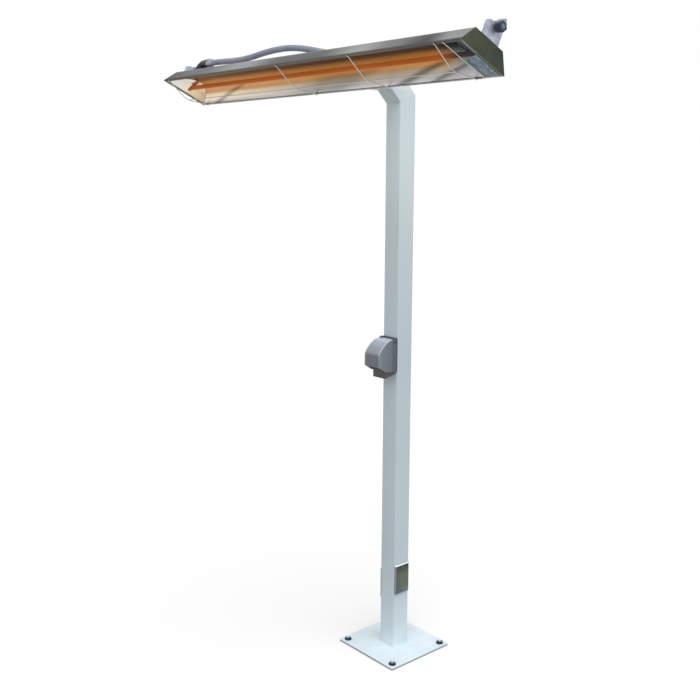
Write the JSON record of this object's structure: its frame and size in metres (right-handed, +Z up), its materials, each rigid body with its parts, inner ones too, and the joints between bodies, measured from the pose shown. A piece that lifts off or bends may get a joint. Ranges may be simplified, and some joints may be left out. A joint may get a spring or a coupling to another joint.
{
  "type": "infrared patio heater tower",
  "caption": "Free-standing square post with a gooseneck arm that carries a long tilting quartz infrared heater; bolted base plate and a hooded control box on the post.",
  "frame": {"origin": "the post's axis at the underside of the base plate", "axes": "+Z up along the post; X along the heater; the arm reaches and the heater faces towards -Y"},
  "size_m": [1.599, 0.6827, 2.2804],
  "materials": {
    "white_paint": "smooth white powder coat, slightly blue",
    "black_zinc": "dark plated steel, satin",
    "cover_stainless": "dark reflective stainless, fine grain",
    "gasket_rubber": "black rubber, matt",
    "screw_stainless": "bright stainless",
    "box_dark_plastic": "dark grey moulded plastic, matt",
    "regulator_plastic": "black moulded plastic",
    "hood_plastic": "blue-grey moulded plastic, satin",
    "knob_plastic": "dark blue-black moulded plastic",
    "zinc": "zinc-plated steel, dull",
    "housing_stainless": "brushed stainless, grain along the length",
    "cap_stainless": "brushed stainless, darker",
    "reflector_mirror": "polished aluminium, soft mirror",
    "ceramic": "off-white ceramic, matt",
    "quartz": "quartz glass, glowing deep orange",
    "filament": "glowing resistance wire",
    "guard_wire": "bright stainless wire",
    "elbow_plastic": "black moulded plastic",
    "conduit_plastic": "smooth blue-grey plastic jacket over steel"
  },
  "bodies": {
    "stand": {"access_cover_left": "cover_stainless", "access_cover_right": "cover_stainless", "access_gasket_left": "gasket_rubber", "access_gasket_right": "gasket_rubber", "anchor_nut_back_left": "black_zinc", "anchor_nut_back_right": "black_zinc", "anchor_nut_front_left": "black_zinc", "anchor_nut_front_right": "black_zinc", "anchor_washer_back_left": "black_zinc", "anchor_washer_back_right": "black_zinc", "anchor_washer_front_left": "black_zinc", "anchor_washer_front_right": "black_zinc", "arm_elbow": "zinc", "arm_fork": "white_paint", "base_plate": "white_paint", "box_backplate": "box_dark_plastic", "box_gasket": "gasket_rubber", "box_screw_lower": "zinc", "box_screw_upper": "zinc", "control_cowl": "box_dark_plastic", "cover_screw_left_lower": "screw_stainless", "cover_screw_left_upper": "screw_stainless", "cover_screw_right_lower": "screw_stainless", "cover_screw_right_upper": "screw_stainless", "flexible_conduit": "conduit_plastic", "gooseneck_arm": "white_paint", "hood_hinge_pin": "screw_stainless", "pivot_bolt": "zinc", "pivot_nut": "zinc", "post_tube": "white_paint", "power_regulator": "regulator_plastic"},
    "head": {"tilt_bracket": "zinc", "tilt_bolt_left": "zinc", "tilt_bolt_right": "zinc", "housing_shell": "housing_stainless", "reflector": "reflector_mirror", "quartz_tube": "quartz", "heating_filament": "filament", "wire_guard": "guard_wire", "head_elbow": "elbow_plastic", "conduit_gland": "zinc", "end_cap_left": "cap_stainless", "end_reflector_left": "reflector_mirror", "ceramic_holder_left": "ceramic", "element_bracket_left": "zinc", "end_bracket_left": "zinc", "end_cap_right": "cap_stainless", "end_reflector_right": "reflector_mirror", "ceramic_holder_right": "ceramic", "element_bracket_right": "zinc", "end_bracket_right": "zinc", "terminal_cover_right": "housing_stainless", "terminal_screw_right": "zinc"},
    "hood": {"hood_cover": "hood_plastic"},
    "regulator_knob": {"control_knob": "knob_plastic"},
    "clamp_knob_left": {"bracket_knob_left": "knob_plastic"},
    "clamp_knob_right": {"bracket_knob_right": "knob_plastic"}
  },
  "joints": [
    {"name": "head_tilt", "type": "hinge", "parent": "stand", "child": "head", "pos_m": [0, -0.328, 2.185], "axis": [1, 0, 0], "range_deg": [-19.5, 25.5], "deforming": ["flexible_conduit"]},
    {"name": "hood_hinge", "type": "hinge", "parent": "stand", "child": "hood", "pos_m": [0, -0.0506, 1.2265], "axis": [1, 0, 0], "range_deg": [-90, 0]},
    {"name": "control_knob_turn", "type": "hinge", "parent": "stand", "child": "regulator_knob", "pos_m": [0, -0.095, 1.158], "axis": [0, -1, 0], "range_deg": [0, 270]},
    {"name": "bracket_knob_left_turn", "type": "hinge", "parent": "head", "child": "clamp_knob_left", "pos_m": [-0.79, -0.38376, 2.23689], "axis": [-1, 0, 0], "continuous": true},
    {"name": "bracket_knob_right_turn", "type": "hinge", "parent": "head", "child": "clamp_knob_right", "pos_m": [0.79, -0.38376, 2.23689], "axis": [1, 0, 0], "continuous": true}
  ]
}
